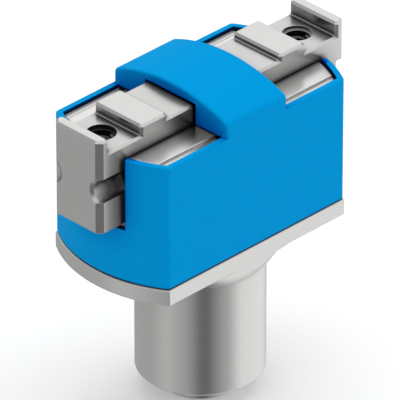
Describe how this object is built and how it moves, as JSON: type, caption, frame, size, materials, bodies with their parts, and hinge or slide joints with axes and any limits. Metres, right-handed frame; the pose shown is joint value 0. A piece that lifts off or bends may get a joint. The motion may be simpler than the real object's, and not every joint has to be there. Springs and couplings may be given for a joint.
{
  "type": "parallel gripper",
  "caption": "Pneumatic parallel gripper: opposed sliding jaws drawn together by a piston and wedge, in a flatted head under an arched plastic cap, on a round clamping spigot with an air port.",
  "frame": {"origin": "centre of the port boss's lower face, on the spigot's axis", "axes": "+Z along the spigot's axis towards the jaws, +X along the jaws' travel, +Y across the flats"},
  "size_m": [0.0518, 0.0242, 0.0549],
  "materials": {
    "anodised_aluminium": "satin, clear anodised",
    "blue_plastic": "fine matt moulded",
    "jaw_steel": "fine ground stainless steel",
    "ground_steel": "hardened and ground",
    "hardened_steel": "hardened, dark ground",
    "piston_aluminium": "turned",
    "seal_rubber": "nitrile rubber",
    "ring_plastic": "filled low-friction plastic",
    "screw_steel": "blackened steel",
    "spring_steel": "drawn spring steel",
    "bronze": "sintered bronze",
    "buffer_rubber": "polyurethane elastomer"
  },
  "bodies": {
    "housing": {"housing": "anodised_aluminium", "cover_cap": "blue_plastic", "front_guide_rod": "ground_steel", "rear_guide_rod": "ground_steel", "spring_washer": "spring_steel", "rod_bush": "bronze", "vent_filter": "bronze", "end_cap": "anodised_aluminium", "end_cap_seal": "seal_rubber", "retaining_ring": "spring_steel", "buffer_pad": "buffer_rubber", "return_spring": "spring_steel"},
    "piston": {"piston": "piston_aluminium", "piston_seal": "seal_rubber", "piston_guide_ring": "ring_plastic", "piston_screw": "screw_steel", "piston_rod": "ground_steel", "drive_wedge": "hardened_steel", "wedge_pin": "ground_steel"},
    "right_jaw": {"right_jaw": "jaw_steel"},
    "left_jaw": {"left_jaw": "jaw_steel"}
  },
  "joints": [
    {"name": "piston_slide", "type": "slide", "parent": "housing", "child": "piston", "axis": [0, 0, 1], "range_m": [0, 0.005], "stiffness_N_per_m": 1000, "springref_m": -0.005, "deforming": ["return_spring"]},
    {"name": "right_jaw_slide", "type": "slide", "parent": "housing", "child": "right_jaw", "axis": [-1, 0, 0], "range_m": [0, 0.003]},
    {"name": "left_jaw_slide", "type": "slide", "parent": "housing", "child": "left_jaw", "axis": [1, 0, 0], "range_m": [0, 0.003]}
  ],
  "couplings": [
    {"joint": "right_jaw_slide", "follows": "piston_slide", "ratio": 0.6},
    {"joint": "left_jaw_slide", "follows": "piston_slide", "ratio": 0.6}
  ]
}
